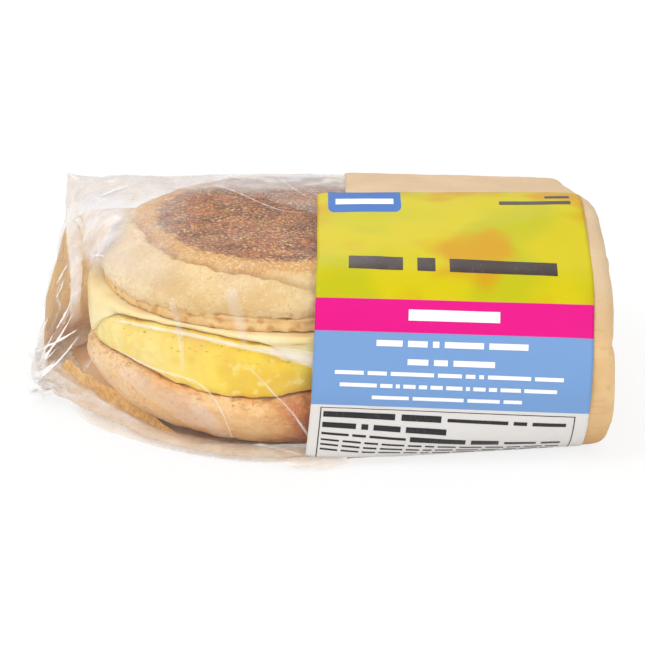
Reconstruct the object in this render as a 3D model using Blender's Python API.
"""A packed egg and cheese english muffin: a clear film pouch drawn tight round the sandwich, a kraft
paper wrap that lies under and behind it and closes the right half, and a stuck-on paper label.

Metres, +Z up. X runs along the pack, the label faces -Y, and the origin is at the bottom centre.
The film is tight, so the pouch is the convex hull of what it is drawn over: the round sandwich, the
long folds of the bag and its two free corners. Swelling those shapes by a distance gives the hull
that lies that far outside it, which is how the paper and the label get their thickness.
"""

import math

import bmesh
import bpy
from mathutils import Matrix, Vector

MM = 0.001

# Sheets
PAPER = 0.6 * MM
LABEL = 0.4 * MM
GAP = 0.3 * MM
FLOOR = PAPER + GAP  # the pouch lies on the paper, whose outer side is at z = 0

# The round sandwich inside, as the film meets it: (name, outer radius, roundness, height, start and sweep in degrees)
MUFFIN_X = -7.0 * MM
MUFFIN_Y = 0.25 * MM
FULL_TURN = 360
BAG_RINGS = (
    ("film skirt", 49.5 * MM, 3.0 * MM, FLOOR + 3.0 * MM, 90, 180),
    ("heel", 50.5 * MM, 14.0 * MM, FLOOR + 15.0 * MM, 0, FULL_TURN),
    ("waist", 52.0 * MM, 9.0 * MM, 20.0 * MM, 0, FULL_TURN),
    ("crown", 47.0 * MM, 11.0 * MM, 36.5 * MM, 0, FULL_TURN),
)
RING_STEPS = 64
TUBE_STEPS = 20

# The folds that run along the pack: (name, y, z, radius, left end x, right end x)
PAPER_EDGE_X = 8.5 * MM
RIGHT_END = 71.8 * MM
BAG_FOLDS = (
    ("front foot", -30.6 * MM, FLOOR + 19.0 * MM, 19.0 * MM, PAPER_EDGE_X, RIGHT_END),
    ("front shoulder", -27.0 * MM, 25.0 * MM, 19.0 * MM, 4.0 * MM, RIGHT_END),
    ("crest", 4.0 * MM, 19.5 * MM, 30.0 * MM, PAPER_EDGE_X, RIGHT_END - 0.5 * MM),
    ("back shoulder", 33.0 * MM, 34.5 * MM, 12.0 * MM, PAPER_EDGE_X, RIGHT_END - 2.5 * MM),
    ("back foot", 43.0 * MM, FLOOR + 9.0 * MM, 9.0 * MM, -48.0 * MM, RIGHT_END - 1.5 * MM),
    ("top seam", 43.5 * MM, 43.5 * MM, 1.5 * MM, -64.5 * MM, PAPER_EDGE_X),
)
FOLD_STEPS = 48
END_ROUND = 1.5 * MM
MERGE = 0.1 * MM

# The bag's free corners at the left end: (name, centre, radius)
BAG_CORNERS = (
    ("crimped tail", (-70.2 * MM, -4.0 * MM, 6.0 * MM), 2.5 * MM),
    ("paper corner", (-62.5 * MM, 28.0 * MM, FLOOR + 7.0 * MM), 7.0 * MM),
)

# The paper's outline: all of the pack right of PAPER_EDGE_X, and only a tray left of it
TRAY_FRONT_Y = -36.0 * MM
TRAY_BACK = (47.0 * MM, 35.0 * MM)  # y and z of the tray's top edge
TRAY_CORNER = (Vector((-67.0, 15.0, 0.0)) * MM, Vector((-29.0, -36.0, 0.0)) * MM)

# The label, on the right half of the front
LABEL_PIVOT = Vector((34.0, -50.0, 25.0)) * MM  # the middle of the front, about which it is turned
LABEL_WIDTH = 66.5 * MM
LABEL_BACK_Y = 13.0 * MM
LABEL_FOOT_Z = 3.2 * MM
LABEL_TURN = math.radians(1.7)

BLOCK = 0.4  # side of the cutting blocks, larger than the pack


def collection(name):
    made = bpy.data.collections.new(name)
    bpy.context.scene.collection.children.link(made)
    return made


def material(name, colour, roughness, alpha=1.0):
    made = bpy.data.materials.new(name)
    made.use_nodes = True
    shader = made.node_tree.nodes["Principled BSDF"]
    shader.inputs["Base Color"].default_value = (*colour, 1.0)
    shader.inputs["Roughness"].default_value = roughness
    shader.inputs["Alpha"].default_value = alpha
    return made


def add_ring(bm, radius, tube, height, start, sweep, swell):
    """The rounded edge of a disc round the muffin's axis, or a stretch of it: a circle spun into a ring."""
    tube += swell
    centre = Vector((radius + swell - tube, 0.0, height))
    turn = Matrix.Rotation(math.radians(start), 4, "Z")
    upright = turn @ Matrix.Translation(centre) @ Matrix.Rotation(math.pi / 2, 4, "X")
    circle = bmesh.ops.create_circle(bm, segments=TUBE_STEPS, radius=tube, matrix=upright)
    steps = RING_STEPS * sweep // FULL_TURN
    if sweep == FULL_TURN:  # the last step would fall on the first circle
        steps -= 1
    bmesh.ops.spin(
        bm,
        geom=circle["verts"],
        cent=(0.0, 0.0, 0.0),
        axis=(0.0, 0.0, 1.0),
        angle=math.tau * steps / RING_STEPS,
        steps=steps,
    )


def add_sandwich(bm, swell):
    for _, radius, tube, height, start, sweep in BAG_RINGS:
        add_ring(bm, radius, tube, height, start, sweep, swell)
    bmesh.ops.translate(bm, verts=bm.verts, vec=(MUFFIN_X, MUFFIN_Y, 0.0))


def add_fold(bm, y, z, radius, left, right, swell):
    """A round rod along X, with a small round at its right end."""
    right += swell
    for end, rod_radius in ((right - END_ROUND, radius + swell), (right, radius + swell - END_ROUND)):
        length = end - left
        place = Matrix.Translation((left + length / 2, y, z)) @ Matrix.Rotation(math.pi / 2, 4, "Y")
        bmesh.ops.create_cone(
            bm,
            cap_ends=True,
            segments=FOLD_STEPS,
            radius1=max(rod_radius, END_ROUND / 2),
            radius2=max(rod_radius, END_ROUND / 2),
            depth=length,
            matrix=place,
        )


def hull(name, swell, group):
    """The surface that lies swell outside the pouch."""
    bm = bmesh.new()
    add_sandwich(bm, swell)
    for _, y, z, radius, left, right in BAG_FOLDS:
        add_fold(bm, y, z, radius, left, right, swell)
    for _, centre, radius in BAG_CORNERS:
        bmesh.ops.create_uvsphere(
            bm,
            u_segments=TUBE_STEPS,
            v_segments=TUBE_STEPS // 2,
            radius=radius + swell,
            matrix=Matrix.Translation(centre),
        )
    bmesh.ops.delete(bm, geom=bm.faces, context="FACES_ONLY")
    bmesh.ops.delete(bm, geom=bm.edges, context="EDGES_FACES")
    for vert in bm.verts:  # the table flattens whatever would hang below it
        vert.co.z = max(vert.co.z, FLOOR - swell)
    bmesh.ops.remove_doubles(bm, verts=bm.verts, dist=MERGE)
    made = bmesh.ops.convex_hull(bm, input=bm.verts)
    shell = {item for item in made["geom"] if isinstance(item, bmesh.types.BMVert)}
    bmesh.ops.delete(bm, geom=[v for v in bm.verts if v not in shell], context="VERTS")
    bmesh.ops.recalc_face_normals(bm, faces=bm.faces)
    mesh = bpy.data.meshes.new(name)
    bm.to_mesh(mesh)
    bm.free()
    mesh.shade_smooth()
    mesh.set_sharp_from_angle(angle=math.radians(30))
    made_object = bpy.data.objects.new(name, mesh)
    group.objects.link(made_object)
    return made_object


def block(name, size, place, group):
    """A cutting block of that size, at that place."""
    bm = bmesh.new()
    bmesh.ops.create_cube(bm, size=1.0, matrix=place @ Matrix.Diagonal((*size, 1.0)))
    bmesh.ops.recalc_face_normals(bm, faces=bm.faces)
    mesh = bpy.data.meshes.new(name)
    bm.to_mesh(mesh)
    bm.free()
    made = bpy.data.objects.new(name, mesh)
    group.objects.link(made)
    return made


def helper(obj):
    obj.hide_render = True
    obj.display_type = "WIRE"
    return obj


def boolean(obj, cutter, operation="DIFFERENCE"):
    modifier = obj.modifiers.new(cutter.name, "BOOLEAN")
    modifier.operation = operation
    modifier.object = cutter


def window_block(group):
    """What lies left of the paper's edge and above the tray: a block on the tray's sloping plane."""
    back_y, back_z = TRAY_BACK
    slope = math.atan2(back_z, back_y - TRAY_FRONT_Y)
    place = (
        Matrix.Translation((PAPER_EDGE_X, TRAY_FRONT_Y, 0.0))
        @ Matrix.Rotation(slope, 4, "X")
        @ Matrix.Translation((-BLOCK / 2, 0.0, BLOCK / 2))
    )
    return helper(block("window_cutter", (BLOCK, BLOCK, BLOCK), place, group))


def corner_block(group):
    """The tray's front left corner, cut off along a straight line."""
    start, end = TRAY_CORNER
    along = end - start
    place = (
        Matrix.Translation(start)
        @ Matrix.Rotation(math.atan2(along.y, along.x), 4, "Z")
        @ Matrix.Translation((0.0, -BLOCK / 2, 0.0))
    )
    cutter = block("corner_cutter", (BLOCK, BLOCK, BLOCK), place, group)
    right_part = block(
        "right_keeper",
        (BLOCK, 2 * BLOCK, 2 * BLOCK),
        Matrix.Translation((TRAY_CORNER[1].x + BLOCK / 2, 0.0, 0.0)),
        group,
    )
    boolean(cutter, helper(right_part))
    return helper(cutter)


def label_block(group):
    """The part of space that holds the label: between its side edges, in front of its top edge, above its foot.

    The label is stuck on slightly turned, so its side edges lean both up the front and along the top.
    """
    place = (
        Matrix.Translation(LABEL_PIVOT)
        @ Matrix.Rotation(LABEL_TURN, 4, "Y")
        @ Matrix.Rotation(-LABEL_TURN, 4, "Z")
        @ Matrix.Translation((0.0, LABEL_BACK_Y - LABEL_PIVOT.y - BLOCK / 2, LABEL_FOOT_Z - LABEL_PIVOT.z + BLOCK / 2))
    )
    return helper(block("label_keeper", (LABEL_WIDTH, BLOCK, BLOCK), place, group))


def clear_bag(parts):
    bag = hull("clear_bag", 0.0, parts)
    bag.data.materials.append(material("clear film", (0.86, 0.86, 0.82), 0.15, 0.35))
    return bag


def kraft_wrap(parts, cutters):
    wrap = hull("kraft_wrap", GAP + PAPER, parts)
    boolean(wrap, window_block(cutters))
    boolean(wrap, corner_block(cutters))
    boolean(wrap, helper(hull("inside_of_paper", GAP, cutters)))
    wrap.data.materials.append(material("kraft paper", (0.62, 0.42, 0.22), 0.75))
    return wrap


def label(parts, cutters):
    sheet = hull("label", 2 * GAP + PAPER + LABEL, parts)
    boolean(sheet, helper(hull("inside_of_label", 2 * GAP + PAPER, cutters)))
    boolean(sheet, label_block(cutters), "INTERSECT")
    sheet.data.materials.append(material("label stock", (0.70, 0.60, 0.02), 0.35))
    return sheet


def main():
    for obj in list(bpy.data.objects):
        bpy.data.objects.remove(obj)
    parts = collection("packed_english_muffin")
    cutters = collection("cutters")
    clear_bag(parts)
    kraft_wrap(parts, cutters)
    label(parts, cutters)


main()
